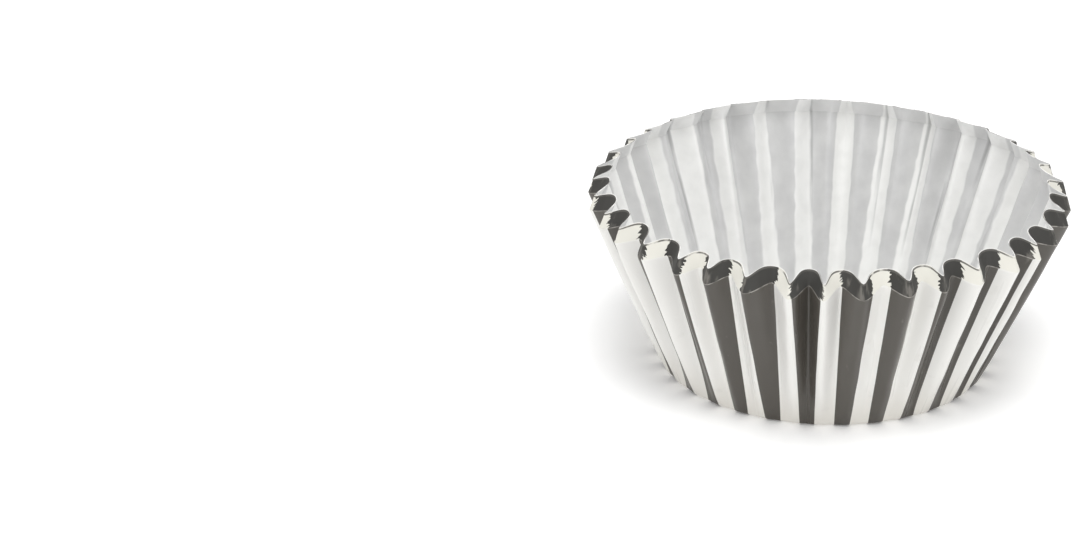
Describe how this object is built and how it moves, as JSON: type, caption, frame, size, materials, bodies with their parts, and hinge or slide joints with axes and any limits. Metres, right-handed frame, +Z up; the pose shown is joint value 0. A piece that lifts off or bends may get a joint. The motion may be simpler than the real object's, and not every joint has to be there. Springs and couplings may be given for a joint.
{
  "type": "paper baking cup",
  "caption": "Pleated paper baking cup with a flat round base, a flared fluted wall, a sharp crease and a short inward-leaning lip, striped outside.",
  "frame": {"origin": "middle of the base's underside, on the surface the cup stands on", "axes": "+Z up, along the cup's own axis of rotation"},
  "size_m": [0.0737, 0.0737, 0.0295],
  "materials": {
    "printed_paper": "warm white coated paper with dark grey stripes printed on the outside"
  },
  "bodies": {
    "root": {"baking_cup": "printed_paper"}
  },
  "joints": []
}
